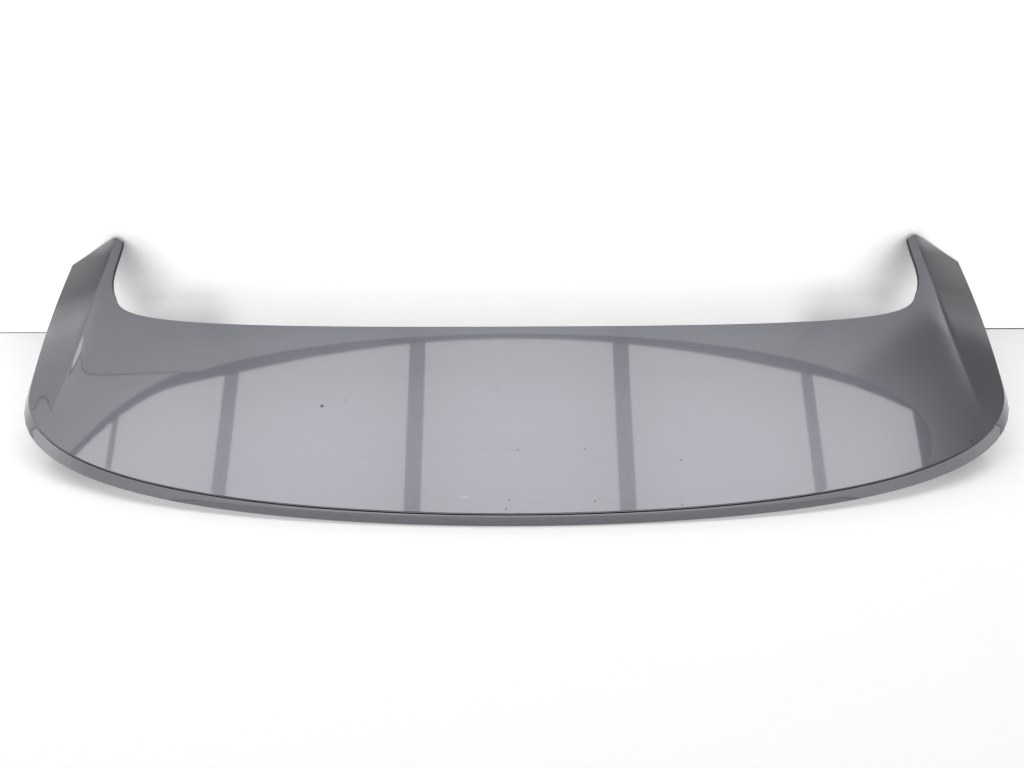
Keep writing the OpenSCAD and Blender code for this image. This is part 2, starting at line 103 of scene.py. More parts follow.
# Steps of the lofts from the middle to the corner, to the bay's corner and to the tip, and round the tip
SKIN_STEPS, SKIN_TIP_STEPS = (48, 40, 44), 12
SEAL_STEPS, SEAL_TIP_STEPS = (40, 34, 30), 8
SIDE_COLUMNS, MAIN_COLUMNS = 14, 42

# Shading: angle over which an edge stays sharp, and distance within which points are one
SHARP_ANGLE, MERGE_AT = 34.0, 0.00002

HALF_W = SKIN_W / 2
MID_Y = (SKIN_D - LIP_OUT) / 2
MM = 0.001


def unit(angle):
    """Direction in plan that leans outwards by an angle from straight ahead."""
    a = math.radians(angle)
    return np.array([math.sin(a), math.cos(a)])


OUTER_A = np.array([0.0, 0.0])
OUTER_K = np.array([HALF_W * CORNER_OUT, SKIN_D * CORNER_FWD])
OUTER_T = np.array([HALF_W, SKIN_D])
OUTER_B = np.array([HALF_W * TRAIL_PULL, 0.0])
OUTER_C = OUTER_K - HALF_W * CORNER_PULL * unit(CORNER_LEAN)
SIDE_RUN = SKIN_D - OUTER_K[1]
SIDE_B = OUTER_K + SIDE_RUN * SIDE_PULL * unit(CORNER_LEAN)
SIDE_C = OUTER_T - SIDE_RUN * TIP_PULL * unit(TIP_LEAN)
INNER_A = np.array([0.0, BLADE_D])
INNER_G = np.array([HALF_W * BAY_OUT, SKIN_D * BAY_FWD])
INNER_T = np.array([HALF_W * BAY_TIP, SKIN_D - 3.0])
INNER_B = np.array([HALF_W * BAY_PULL, BLADE_D])
INNER_C = INNER_G - BAY_CORNER_PULL * unit(BAY_LEAN)
ARM_B = INNER_G + unit(BAY_LEAN) * np.linalg.norm(INNER_T - INNER_G) / 3
ARM_C = INNER_T - (INNER_T - INNER_G) / 3


def clamp(v, low, high):
    return min(max(v, low), high)


def mix(a, b, t):
    return a + (b - a) * t


def ease(t):
    return t * t * (3 - 2 * t)


def bezier(a, b, c, d, t):
    """Point and direction at t on a cubic curve."""
    u = 1 - t
    point = u**3 * a + 3 * u * u * t * b + 3 * u * t * t * c + t**3 * d
    way = u * u * (b - a) + 2 * u * t * (c - b) + t * t * (d - c)
    return point, way / np.linalg.norm(way)


def outer_raw(p):
    if p <= 2:
        return bezier(OUTER_A, OUTER_B, OUTER_C, OUTER_K, 0.63 * p if p < 1 else 0.63 + 0.37 * (p - 1))
    return bezier(OUTER_K, SIDE_B, SIDE_C, OUTER_T, p - 2)


def inner_raw(p):
    if p <= 2:
        t = 0.45 * p**1.5 if p < 1 else 0.45 + 0.55 * (p - 1)
        return bezier(INNER_A, INNER_B, INNER_C, INNER_G, t)
    return bezier(INNER_G, ARM_B, ARM_C, INNER_T, p - 2)


class Station:
    """One cross line of the part: 0 on the centre line, 3 at the tip."""

    def __init__(self, p):
        self.p = p
        raw, way = outer_raw(p)
        out = mix(np.array([way[1], -way[0]]), np.array([1.0, 0.0]), clamp(2 * (p - 2.5), 0, 1))
        self.out = out / np.linalg.norm(out)
        left = SKIN_D - raw[1]
        cut = 0 if p < 2.5 or left >= TIP_R else TIP_R - math.sqrt(TIP_R**2 - (TIP_R - left) ** 2)
        self.outer = raw - cut * self.out
        self.inner, way = inner_raw(p)
        self.inward = np.array([way[1], -way[0]])
        self.edge_z = self.top(self.outer)

    def from_outer(self, d):
        return self.outer - d * self.out

    def from_inner(self, d):
        return self.inner + d * self.inward

    def side_share(self, x, y):
        c = crease_x(y)
        return clamp((x - c) / max(self.outer[0] - c, 8), 0, 1.3)

    def plain(self, q):
        """Height of the surface without its crease at the plan place q."""
        fall = fall_at(q[1]) * fall_shape(self.side_share(*q), q[1])
        return blade_z(min(q[0], crease_x(q[1])), q[1]) - fall

    def top(self, q):
        """Height of the painted surface at the plan place q."""
        x, y = q
        d = max(0, crease_x(y) - x)
        t = clamp((y - CREASE_FROM) / (SKIN_D - CREASE_FROM), 0, 1)
        w = mix(REAR_RIDGE_W, TIP_RIDGE_W, t) / mix(CREST_SHARE_REAR, CREST_SHARE_TIP, t)
        fade = 1 - 0.9 * ease(min(1, self.side_share(x, y)))
        crest = math.exp(-(math.hypot(d, CREST_ROUND) - CREST_ROUND) / w)
        return self.plain(q) + CREASE_H * t**CREASE_POWER * crest * fade

    def crease_share(self, a, b):
        """Share of the line from a to b at which it crosses the crease."""
        k = HALF_W * (CREASE_TIP - CREASE_REAR) / (SKIN_D - FALL_FROM)
        c = HALF_W * CREASE_REAR - k * FALL_FROM
        s = (c + k * a[1] - a[0]) / ((b[0] - a[0]) - k * (b[1] - a[1]))
        return clamp(s if a[0] > c + k * a[1] else 0, 0.04, 0.97)


def blade_z(x, y):
    lift = max(0, (y - LIFT_FROM) / (SKIN_D - LIFT_FROM))
    return LIP_H + math.tan(math.radians(BLADE_SLOPE)) * y - CROWN * (x / 600) ** 2 + ARM_LIFT * lift**2


def along_arm(y):
    return clamp((y - FALL_FROM) / (SKIN_D - FALL_FROM), 0, 1)


def crease_x(y):
    return HALF_W * mix(CREASE_REAR, CREASE_TIP, along_arm(y))


def fall_at(y):
    return SIDE_FALL * along_arm(y) ** FALL_POWER


def fall_shape(u, y):
    """The side face is straight with a round top, crisper towards the tip."""
    r = mix(ROUND_REAR, ROUND_TIP, along_arm(y))
    return (math.hypot(u, r) - r) / (math.hypot(1, r) - r)


def metres(q, z, side):
    return (side * q[0] * MM, (q[1] - MID_Y) * MM, z * MM)


def both_sides(half):
    """Stations from one tip to the other, as pairs of side and station."""
    return [(-1, s) for s in reversed(half[1:])] + [(1, s) for s in half]


def run_of(steps, tip_steps):
    """Stations of one half, closer together at the rounded tip corner."""
    values = []
    for start, count in enumerate(steps):
        values += [start + i / count for i in range(count)]
    tip_from = 2.94
    values = [v for v in values if v < tip_from]
    values += [3 - (3 - tip_from) * (1 - i / tip_steps) ** 1.5 for i in range(tip_steps + 1)]
    return values


def new_object(name, verts, faces, material, smooth=True):
    mesh = bpy.data.meshes.new(name)
    mesh.from_pydata(verts, [], faces)
    mesh.validate()
    mesh.update()
    for polygon in mesh.polygons:
        polygon.use_smooth = smooth
    if smooth:
        mesh.set_sharp_from_angle(angle=math.radians(SHARP_ANGLE))
    made = bpy.data.objects.new(name, mesh)
    bpy.context.scene.collection.objects.link(made)
    made.data.materials.append(material)
    return made


def loft(rings):
    """Closed skin through equal rings of points, with flat ends; returns vertices and faces."""
    n = len(rings[0])
    verts = [v for ring in rings for v in ring]
    faces = []
    for i in range(len(rings) - 1):
        for j in range(n):
            a, b = i * n + j, i * n + (j + 1) % n
            faces.append((a, a + n, b + n, b))
    last = (len(rings) - 1) * n
    half = n // 2
    for j in range(half - 1):
        a, b, c, d = j, j + 1, n - 2 - j, n - 1 - j
        faces.append((a, b, c, d))
        faces.append((last + d, last + c, last + b, last + a))
    return verts, faces


def arc(radius, count):
    """Quarter round from its lower to its upper end: pairs of distance in and drop."""
    steps = [math.pi / 2 * i / count for i in range(count + 1)]
    return [(radius * (1 - math.cos(a)), radius * (1 - math.sin(a))) for a in steps]


def skin_ring(s, side):
    """Section of the upper skin: outer edge, top, hem round the bay, then back under it."""
    def top_at(q, drop=0.0):
        return metres(q, s.top(q) - drop, side)

    a, b = s.from_outer(EDGE_IN), s.from_inner(HEM_R + 2.0)
    share = s.crease_share(a, b)
    side_steps = [1 - (1 - i / SIDE_COLUMNS) ** 1.5 for i in range(SIDE_COLUMNS + 1)]
    main_steps = [(i / MAIN_COLUMNS) ** 1.45 for i in range(1, MAIN_COLUMNS + 1)]
    columns = [mix(a, b, share * t) for t in side_steps]
    columns += [mix(a, b, share + (1 - share) * t) for t in main_steps]
    low = s.top(s.inner) - HEM_H
    hem_in = s.from_inner(HEM_T)
    ring = [top_at(s.from_outer(d), drop) for d, drop in arc(EDGE_R, 5)]
    ring += [top_at(s.from_outer(d)) for d in (1.3, 2.6, THIN_TO, 6.0)]
    ring += [top_at(q) for q in columns]
    ring += [top_at(s.from_inner(HEM_R + 0.5))]
    ring += [top_at(s.from_inner(d), drop) for d, drop in reversed(arc(HEM_R, 5))]
    ring += [metres(s.inner, low + 0.4, side), metres(s.from_inner(0.3), low, side)]
    under = [top_at(s.from_outer(d), EDGE_T) for d in np.linspace(0.2, THIN_TO, 9)]
    under += [top_at(s.from_outer(6.0), mix(EDGE_T, SKIN_T, 0.5))]
    under += [top_at(q, SKIN_T) for q in columns]
    under += [top_at(s.from_inner(HEM_T + 0.9), SKIN_T)]
    under += [top_at(hem_in, SKIN_T + 0.4 * i) for i in range(4)]
    under += [metres(hem_in, mix(s.top(hem_in) - SKIN_T - 2, low, t), side) for t in (0, 0.5)]
    under += [metres(hem_in, low + 0.3, side), metres(s.from_inner(HEM_T - 0.3), low, side)]
    return ring + under[::-1]


def stations(steps, tip_steps):
    return [Station(p) for p in run_of(steps, tip_steps)]


def upper_skin(material):
    rings = [skin_ring(s, side) for side, s in both_sides(stations(SKIN_STEPS, SKIN_TIP_STEPS))]
    verts, faces = loft(rings)
    return new_object("painted_upper_skin", verts, faces, material)


def seal_ring(s, side):
    """Section of the edge seal: flat back on the hem, rounded front."""
    high = s.top(s.inner) - SEAL_DROP
    r = SEAL_T * SEAL_ROUND
    ring = []
    for z, way in ((high, -1), (high - SEAL_H, 1)):
        edge = [metres(s.from_inner(-SEAL_GAP), z, side)]
        for i in range(4):
            a = math.pi / 2 * i / 3
            place = s.from_inner(-(SEAL_T - r) - r * math.sin(a))
            edge.append(metres(place, z + way * r * (1 - math.cos(a)), side))
        ring += edge if way < 0 else edge[::-1]
    return ring


def edge_seal(material):
    rings = [seal_ring(s, side) for side, s in both_sides(stations(SEAL_STEPS, SEAL_TIP_STEPS))]
    verts, faces = loft(rings)
    return new_object("rubber_edge_seal", verts, faces, material)


def smooth_part(name):
    """Smooth shading with sharp edges, laid over one of the construction's own nodes."""
    group = bpy.data.node_groups.new(f"smooth_{name}", "GeometryNodeTree")
    for way in ("INPUT", "OUTPUT"):
        group.interface.new_socket("Geometry", in_out=way, socket_type="NodeSocketGeometry")
    nodes, links = group.nodes, group.links
    start, end = nodes.new("NodeGroupInput"), nodes.new("NodeGroupOutput")
    merge = nodes.new("GeometryNodeMergeByDistance")
    merge.inputs["Distance"].default_value = MERGE_AT
    flat = nodes.new("GeometryNodeSetShadeSmooth")
    crisp = node(nodes, "GeometryNodeSetShadeSmooth", domain="EDGE")
    crisp.inputs["Shade Smooth"].default_value = False
    angle = nodes.new("GeometryNodeInputMeshEdgeAngle")
    sharp = node(nodes, "FunctionNodeCompare", operation="GREATER_THAN")
    sharp.inputs["B"].default_value = math.radians(SHARP_ANGLE)
    links.new(start.outputs["Geometry"], merge.inputs["Geometry"])
    links.new(merge.outputs["Geometry"], flat.inputs["Geometry"])
    links.new(flat.outputs["Geometry"], crisp.inputs["Geometry"])
    links.new(angle.outputs["Unsigned Angle"], sharp.inputs["A"])
    links.new(sharp.outputs["Result"], crisp.inputs["Selection"])
    links.new(crisp.outputs["Geometry"], end.inputs["Geometry"])
    part = frame["nodes"][name]
    part.modifiers.new("smooth", "NODES").node_group = group


def turned(name, stands_for, rings, material, closed=False):
    """Turned piece on the axis of its node's box; rings are radius (or a function of angle) and height."""
    low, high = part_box(stands_for)
    cx, cy = (low.x + high.x) / 2, (low.y + high.y) / 2
    verts = []
    for radius, z in rings:
        for j in range(TURNS):
            a = 2 * math.pi * j / TURNS
            r = (radius(j / TURNS) if callable(radius) else radius) * MM
            verts.append((cx + r * math.cos(a), cy + r * math.sin(a), low.z + z * MM))
    faces = []
    last = len(rings) if closed else len(rings) - 1
    for i in range(last):
        for j in range(TURNS):
            k, m = (j + 1) % TURNS, (i + 1) % len(rings)
            faces.append((i * TURNS + j, i * TURNS + k, m * TURNS + k, m * TURNS + j))
    if not closed:
        faces.append(tuple(reversed(range(TURNS))))
        faces.append(tuple((len(rings) - 1) * TURNS + j for j in range(TURNS)))
    return new_object(name, verts, faces, material)


def rounded(radius, low, high, r, steps=4):
    """Outer side of a turned piece from its foot up, with both edges rounded."""
    side = []
    for i in range(steps + 1):
        a = math.pi / 2 * i / steps
        side.append((radius - r * (1 - math.sin(a)), low + r * (1 - math.cos(a))))
    return side + [(q, low + high - z) for q, z in reversed(side)]


def thread_radius(z, fade):
    """Radius of a single-start thread at a height, as a function of the share of a turn."""
    def radius(turn):
        phase = (z / THREAD_PITCH - turn) % 1.0
        crest = clamp(2.4 * (1 - abs(2 * phase - 1)) - 0.5, 0, 1)
        return STUD_D / 2 - THREAD_DEEP * fade * (1 - crest)

    return radius


def stud(name, stands_for, material):
    low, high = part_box(stands_for)
    height = (high.z - low.z) / MM
    pad_top = height - COLLAR_H
    rings = [(STUD_TIP_D / 2, 0.0)]
    count = int(STUD_SHANK / THREAD_PITCH * THREAD_STEPS)
    for i in range(1, count + 1):
        z = STUD_SHANK * i / count
        fade = clamp(min(z - 0.2, (STUD_SHANK - z) * 0.7), 0, 1)
        limit = mix(STUD_TIP_D / 2, STUD_D / 2, clamp(z / STUD_TIP, 0, 1))
        thread = thread_radius(z, fade)
        rings.append((lambda turn, t=thread, m=limit: min(t(turn), m), z))
    neck, head, collar = STUD_D * NECK_SHARE / 2, HEAD_D / 2, COLLAR_D / 2
    rings += [(neck, STUD_SHANK + 0.01), (neck, pad_top)]
    rings += rounded(head, pad_top, pad_top + HEAD_H, 0.4)
    rings += [(collar, pad_top + HEAD_H), (collar, height - 0.3), (collar - 0.3, height)]
    return turned(name, stands_for, rings, material)


def washer(name, stands_for, material):
    """Foam ring with rounded edges."""
    low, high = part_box(stands_for)
    bore, height = (STUD_D + 0.2) / 2, (high.z - low.z) / MM
    if "clip" in stands_for:
        bore = (CLIP_NECK + 0.5) / 2
    outer = rounded((high.x - low.x) / 2 / MM, 0.0, height, WASHER_ROUND)
    return turned(name, stands_for, [(bore, 0.0)] + outer + [(bore, height)], material, closed=True)


def buffer(name, stands_for, material):
    """Push-in buffer with a rounded foot, a fine groove and a barbed stem."""
    rings = [(5.6, 0.0), (6.8, 0.12), (7.8, 0.7), (8.8, 1.5), (9.5, 2.6), (9.9, 3.9)]
    rings += [(10.0, 4.4), (10.0, 5.2), (9.6, 5.4), (9.6, 5.8), (10.0, 6.0), (10.0, BUFFER_H - 0.3)]
    rings += [(9.7, BUFFER_H), (BUFFER_STEM, BUFFER_H), (BUFFER_STEM, 12.8), (2.5, 15.3), (2.0, 15.5)]
    return turned(name, stands_for, rings, material)


# Materials
def material(name):
    made = bpy.data.materials.new(name)
    made.use_nodes = True
    nodes = made.node_tree.nodes
    return made, nodes, made.node_tree.links, nodes["Principled BSDF"]


def node(nodes, kind, **values):
    made = nodes.new(kind)
    for key, value in values.items():
        if key in made.inputs:
            made.inputs[key].default_value = value
        else:
            setattr(made, key, value)
    return made


def feed(links, socket, value):
    """Sets a socket to a number, or links it to another socket."""
    if isinstance(value, (int, float)):
        socket.default_value = value
    else:
        links.new(value, socket)


def maths(nodes, links, operation, *values, **more):
    made = node(nodes, "ShaderNodeMath", operation=operation, **more)
    for i, value in enumerate(values):
        feed(links, made.inputs[i], value)
    return made.outputs[0]


def remap(nodes, links, value, ends, smooth=True):
    """Maps the span between the first two ends to that between the last two."""
    made = node(nodes, "ShaderNodeMapRange", interpolation_type="SMOOTHSTEP" if smooth else "LINEAR")
    for key, end in zip(("From Min", "From Max", "To Min", "To Max"), ends):
        made.inputs[key].default_value = end
    links.new(value, made.inputs["Value"])
    return made.outputs["Result"]


def mixed(nodes, links, factor, a, b):
    """a where the factor is 0, b where it is 1."""
    made = node(nodes, "ShaderNodeMix", data_type="FLOAT")
    for key, value in (("Factor", factor), ("A", a), ("B", b)):
        feed(links, made.inputs[key], value)
    return made.outputs["Result"]


def ramp(nodes, links, value, stops):
    """Grey level along a value from 0 to 1, through pairs of place and level in rising order."""
    made = nodes.new("ShaderNodeValToRGB")
    elements = made.color_ramp.elements
    while len(elements) < len(stops):
        elements.new(1.0)
    for element, (place, level) in zip(elements, stops):
        element.position = place
        element.color = (level, level, level, 1)
    links.new(value, made.inputs["Fac"])
    return made.outputs["Color"]


def axes_of(nodes, links):
    """Place in the row frame as three numbers."""
    place = nodes.new("ShaderNodeTexCoord")
    made = nodes.new("ShaderNodeSeparateXYZ")
    links.new(place.outputs["Object"], made.inputs["Vector"])
    return made.outputs


def tint(nodes, links, shader, base, tone):
    """Base colour times a tone that varies."""
    made = node(nodes, "ShaderNodeMix", data_type="RGBA", blend_type="MULTIPLY")
    made.inputs["Factor"].default_value = 1.0
    made.inputs[6].default_value = (*base, 1)
    links.new(tone, made.inputs[7])
    links.new(made.outputs[2], shader.inputs["Base Color"])


# Paint
PAINT_METALLIC, PAINT_ROUGHNESS, COAT_ROUGHNESS, COAT_IOR = 0.75, 0.25, 0.03, 1.6
FLAKE_SCALE, FLAKE_DEPTH = 2200.0, 0.16
GRAIN_DARK, GRAIN_LIGHT, GRAIN_HIGH = 0.8, 1.2, 0.0002
# Marks on the lacquer, in metres in the row frame: places seen from above, as the photo shows them
SPOT, SPOT_SIZE, SPOT_DARK = (-0.2224, -0.0647), (0.0029, 0.0023), -0.7
SPECKS = ((-0.1959, -0.057), (-0.0085, -0.1809), (-0.0116, -0.1909), (0.0816, -0.1823), (0.0749, -0.1216),
          (0.0014, -0.1226), (-0.0223, -0.0437), (0.2046, -0.0245), (0.1784, -0.1349), (0.1721, -0.1867))
SPECK_SIZE, SPECK_DARK = (0.0014, 0.0013), -0.5
SCRATCHES = (((-0.0632, -0.1773), (-0.0484, -0.1773)), ((0.5327, -0.0778), (0.5299, -0.0908)),
             ((0.5786, 0.002), (0.5683, -0.0333)))
SCRATCH_HALF_W, SCRATCH_LIGHT = 0.001, 0.35
SMUDGE, SMUDGE_SIZE, SMUDGE_TURN, SMUDGE_DARK = (0.506, -0.1088), (0.004, 0.0025), 0.5, -0.35
MARK_SOFT = 0.55
# Polishing streaks run across the blade; the lacquer's skin is slightly uneven
STREAKS, STREAK_DEPTH = (5.0, 120.0, 0.0), 0.035
PEEL_SCALE, PEEL_HIGH = 260.0, 0.0000025


def mark(nodes, links, flat, middle, size, turn, strength):
    """Soft oval of extra tone: strength at its middle, nothing outside its size."""
    moved = node(nodes, "ShaderNodeMapping", vector_type="TEXTURE")
    moved.inputs["Location"].default_value = (*middle, 0.0)
    moved.inputs["Rotation"].default_value = (0.0, 0.0, turn)
    moved.inputs["Scale"].default_value = (*size, 1.0)
    reach = node(nodes, "ShaderNodeVectorMath", operation="LENGTH")
    links.new(flat, moved.inputs["Vector"])
    links.new(moved.outputs["Vector"], reach.inputs[0])
    return remap(nodes, links, reach.outputs["Value"], (MARK_SOFT, 1.0, strength, 0.0))


def marks(nodes, links, tone):
    """Tone with the spot, specks, scratches, smudge and streaks, and the share of lacquer left shining."""
    axes = axes_of(nodes, links)
    plan = nodes.new("ShaderNodeCombineXYZ")
    links.new(axes["X"], plan.inputs["X"])
    links.new(axes["Y"], plan.inputs["Y"])
    flat = plan.outputs["Vector"]
    ovals = [(SPOT, SPOT_SIZE, 0.0, SPOT_DARK), (SMUDGE, SMUDGE_SIZE, SMUDGE_TURN, SMUDGE_DARK)]
    ovals += [(q, SPECK_SIZE, 0.0, SPECK_DARK) for q in SPECKS]
    for a, b in SCRATCHES:
        middle = ((a[0] + b[0]) / 2, (a[1] + b[1]) / 2)
        turn = math.atan2(b[1] - a[1], b[0] - a[0])
        ovals.append((middle, (math.dist(a, b) / 2, SCRATCH_HALF_W), turn, SCRATCH_LIGHT))
    shine = 1.0
    for oval in ovals:
        change = mark(nodes, links, flat, *oval)
        tone = maths(nodes, links, "ADD", tone, change)
        if oval[-1] < 0:
            shine = maths(nodes, links, "ADD", shine, change)
    stretched = node(nodes, "ShaderNodeVectorMath", operation="MULTIPLY")
    stretched.inputs[1].default_value = STREAKS
    streak = node(nodes, "ShaderNodeTexNoise", Scale=1.0, Detail=1.0)
    links.new(flat, stretched.inputs[0])
    links.new(stretched.outputs["Vector"], streak.inputs["Vector"])
    ends = (0.0, 1.0, -STREAK_DEPTH, STREAK_DEPTH)
    streaks = remap(nodes, links, streak.outputs["Fac"], ends, smooth=False)
    return maths(nodes, links, "ADD", tone, streaks), shine


def uneven_lacquer(nodes, links, place, shader):
    """The slight waviness of sprayed lacquer, seen only in its reflections."""
    peel = node(nodes, "ShaderNodeTexNoise", Scale=PEEL_SCALE, Detail=1.0)
    rise = node(nodes, "ShaderNodeBump", Strength=1.0, Distance=PEEL_HIGH)
    links.new(place, peel.inputs["Vector"])
    links.new(peel.outputs["Fac"], rise.inputs["Height"])
    links.new(rise.outputs["Normal"], shader.inputs["Coat Normal"])


def paint(name, base, marked=False):
    """Dark metallic paint: fine flakes in the base coat under clear lacquer."""
    made, nodes, links, shader = material(name)
    place = nodes.new("ShaderNodeTexCoord").outputs["Object"]
    flakes = node(nodes, "ShaderNodeTexVoronoi", Scale=FLAKE_SCALE)
    split = nodes.new("ShaderNodeSeparateColor")
    links.new(place, flakes.inputs["Vector"])
    links.new(flakes.outputs["Color"], split.inputs["Color"])
    ends = (0.0, 1.0, 1 - FLAKE_DEPTH, 1 + FLAKE_DEPTH)
    tone = remap(nodes, links, split.outputs["Red"], ends, smooth=False)
    shader.inputs["Coat Weight"].default_value = 1.0
    if marked:
        tone, shine = marks(nodes, links, tone)
        links.new(shine, shader.inputs["Coat Weight"])
        uneven_lacquer(nodes, links, place, shader)
    tint(nodes, links, shader, base, tone)
    shader.inputs["Metallic"].default_value = PAINT_METALLIC
    shader.inputs["Roughness"].default_value = PAINT_ROUGHNESS
    shader.inputs["Coat Roughness"].default_value = COAT_ROUGHNESS
    shader.inputs["Coat IOR"].default_value = COAT_IOR
    return made


def plain(name, base, roughness, metallic=0.0, grain=900.0, bump=0.15):
    """Rubber, foam, nylon or plated steel with a fine grain."""
    made, nodes, links, shader = material(name)
    place = nodes.new("ShaderNodeTexCoord").outputs["Object"]
    noise = node(nodes, "ShaderNodeTexNoise", Scale=grain, Detail=3.0)
    links.new(place, noise.inputs["Vector"])
    ends = (0.0, 1.0, GRAIN_DARK, GRAIN_LIGHT)
    tint(nodes, links, shader, base, remap(nodes, links, noise.outputs["Fac"], ends, smooth=False))
    rise = node(nodes, "ShaderNodeBump", Strength=bump, Distance=GRAIN_HIGH)
    links.new(noise.outputs["Fac"], rise.inputs["Height"])
    links.new(rise.outputs["Normal"], shader.inputs["Normal"])
    shader.inputs["Roughness"].default_value = roughness
    shader.inputs["Metallic"].default_value = metallic
    return made


# Stage: floor, wall, lamps and camera, in metres
FLOOR_HALF = 2.35
WALL_Y, WALL_HALF = 0.203, 3.0
CEILING_Z = 1.5
# beams between the lamps: place and half width
BEAMS = ((-1.297, 0.0095), (-0.928, 0.0235), (-0.317, 0.026), (0.352, 0.026), (0.962, 0.0195))
PANEL_ENDS = (-1.46, 1.30)
BEAM_POWER, BEAM_BACK = 0.8, 0.002
PANEL_NEAR = -0.15
PANEL_FAR, PANEL_BOW = 0.569, 0.092
LEFT_DROP, LEFT_DROP_FROM = 1.4, 1.09
RIGHT_DROP, RIGHT_DROP_FROM = 0.4, 0.97
FRAME_WIDE, FRAME_NARROW, NARROW_FROM, NARROW_RUN = 0.05, 0.036, 0.95, 0.28
PANEL_POWER = 3.5
CEILING_POWER = 1.4
CEILING_FROM, CEILING_TO, CEILING_BACK = -1.75, -0.9, 1.6

ROOM_POWER = 0.06

# Bright room round the front: power at even steps of angle from the left end to the right end
RING_R, RING_LOW, RING_HIGH = 2.4, 0.02, 1.3
RING_HALF_ANGLE = 95.0
RING_POWERS = (1.3, 1.9, 1.1, 1.35, 1.6, 2.3, 3.0, 2.25, 1.5, 1.3, 1.1, 1.3, 1.1)

# Wall and floor
WALL_TOP, WALL_RISE, WALL_RISE_FAR = 0.524, 0.28, 0.16
LEFT_TOP, LEFT_TOP_TO, LEFT_TOP_RISE = 0.672, 1.0, 1.4
EDGE_LINE_FROM, EDGE_LINE_HIGH = -0.7, 0.008
FOOT_OUT, FOOT_HIGH = 0.008, 0.05
# faint upright bands on the wall, which only reflections see: place and half width
POSTS = ((-0.545, 0.012), (-0.182, 0.01), (0.197, 0.01), (0.55, 0.016))
POST_SOFT, POST_LEFT = 0.006, 0.6
# painted shadow line at the wall's foot: where along x it turns darker, and its height
LINE_DARK_FROM, LINE_HIGH = 0.66, 0.0025
# painted contact shade, darkening floor and wall near the part: reach, depth, axis, middle and the span
# from the middle over which it fades out
FLOOR_SHADE = (0.03, 1.5, "Y", 0.0, 0.05, 0.16)
WALL_SHADE = (0.09, 1.15, "X", 0.485, 0.035, 0.1)
SHADE_SAMPLES = 10
# what reflections see low on the wall beside the arms: share of its light at distances from the middle
LOW_STEPS = ((0.56, 1.0), (0.6, 0.4), (0.7, 0.4), (0.81, 1.25), (0.92, 1.0), (1.05, 0.4))
LOW_SPAN, LOW_FROM, LOW_TO = 2.0, 0.21, 0.36
# and higher up, where the room is darker at the right: span along x and share at its ends
HIGH_FADE = (0.67, 0.76, 1.0, 0.5)
# span along x and glow to the left and to the right of it
WALL_FADE = (0.67, 0.76, 0.4, 0.0)
FLOOR_COLOUR, FLOOR_LIFT, FLOOR_UNSEEN = 0.72, 0.33, 0.2
WALL_COLOUR, WALL_LIFT = 0.8, 0.46

# Camera
CAMERA_PLACE = (-0.0044, -0.7715, 0.5825)
CAMERA_PITCH, CAMERA_ROLL, CAMERA_YAW = 35.0, -0.25, 0.04
FOCAL_PX, PHOTO_W, SENSOR_MM = 769.0, 1024.0, 36.0


def one_sided(name, surface_of):
    """Stage material that shows from its front only."""
    made = bpy.data.materials.new(name)
    made.use_nodes = True
    nodes, links = made.node_tree.nodes, made.node_tree.links
    nodes.clear()
    out = nodes.new("ShaderNodeOutputMaterial")
    clear = nodes.new("ShaderNodeBsdfTransparent")
    back = nodes.new("ShaderNodeNewGeometry")
    choose = nodes.new("ShaderNodeMixShader")
    links.new(back.outputs["Backfacing"], choose.inputs["Fac"])
    links.new(surface_of(nodes, links), choose.inputs[1])
    links.new(clear.outputs["BSDF"], choose.inputs[2])
    links.new(choose.outputs["Shader"], out.inputs["Surface"])
    return made


def painted_contact_shade(nodes, links, axes, reach, depth, axis, middle, clear_from, clear_to):
    """Painted shade: light left where something is near, from ambient occlusion; the shade fades out on
    both sides of a middle, mirrored.
    """
    near = node(nodes, "ShaderNodeAmbientOcclusion", samples=SHADE_SAMPLES, Distance=reach)
    shifted = maths(nodes, links, "SUBTRACT", maths(nodes, links, "ABSOLUTE", axes[axis]), middle)
    away = maths(nodes, links, "ABSOLUTE", shifted)
    hidden = maths(nodes, links, "SUBTRACT", 1.0, near.outputs["AO"])
    share = remap(nodes, links, away, (clear_from, clear_to, depth, 0.0))
    dark = maths(nodes, links, "MULTIPLY", hidden, share)
    return maths(nodes, links, "SUBTRACT", 1.0, dark, use_clamp=True)


def beside(nodes, links, across, x, half):
    """1 beside an upright band round x, less on it."""
    away = maths(nodes, links, "ABSOLUTE", maths(nodes, links, "SUBTRACT", across, x))
    return remap(nodes, links, away, (half - POST_SOFT, half + POST_SOFT, POST_LEFT, 1.0))


def reflected_share(nodes, links, axes, camera_ray):
    """Share of the wall's light: 1 to the camera, by LOW_STEPS and HIGH_FADE to reflections."""
    away = maths(nodes, links, "DIVIDE", maths(nodes, links, "ABSOLUTE", axes["X"]), LOW_SPAN)
    low = ramp(nodes, links, away, [(x / LOW_SPAN, share) for x, share in LOW_STEPS])
    high = remap(nodes, links, axes["X"], HIGH_FADE)
    height = remap(nodes, links, axes["Z"], (LOW_FROM, LOW_TO, 0.0, 1.0))
    return mixed(nodes, links, camera_ray, mixed(nodes, links, height, low, high), 1.0)


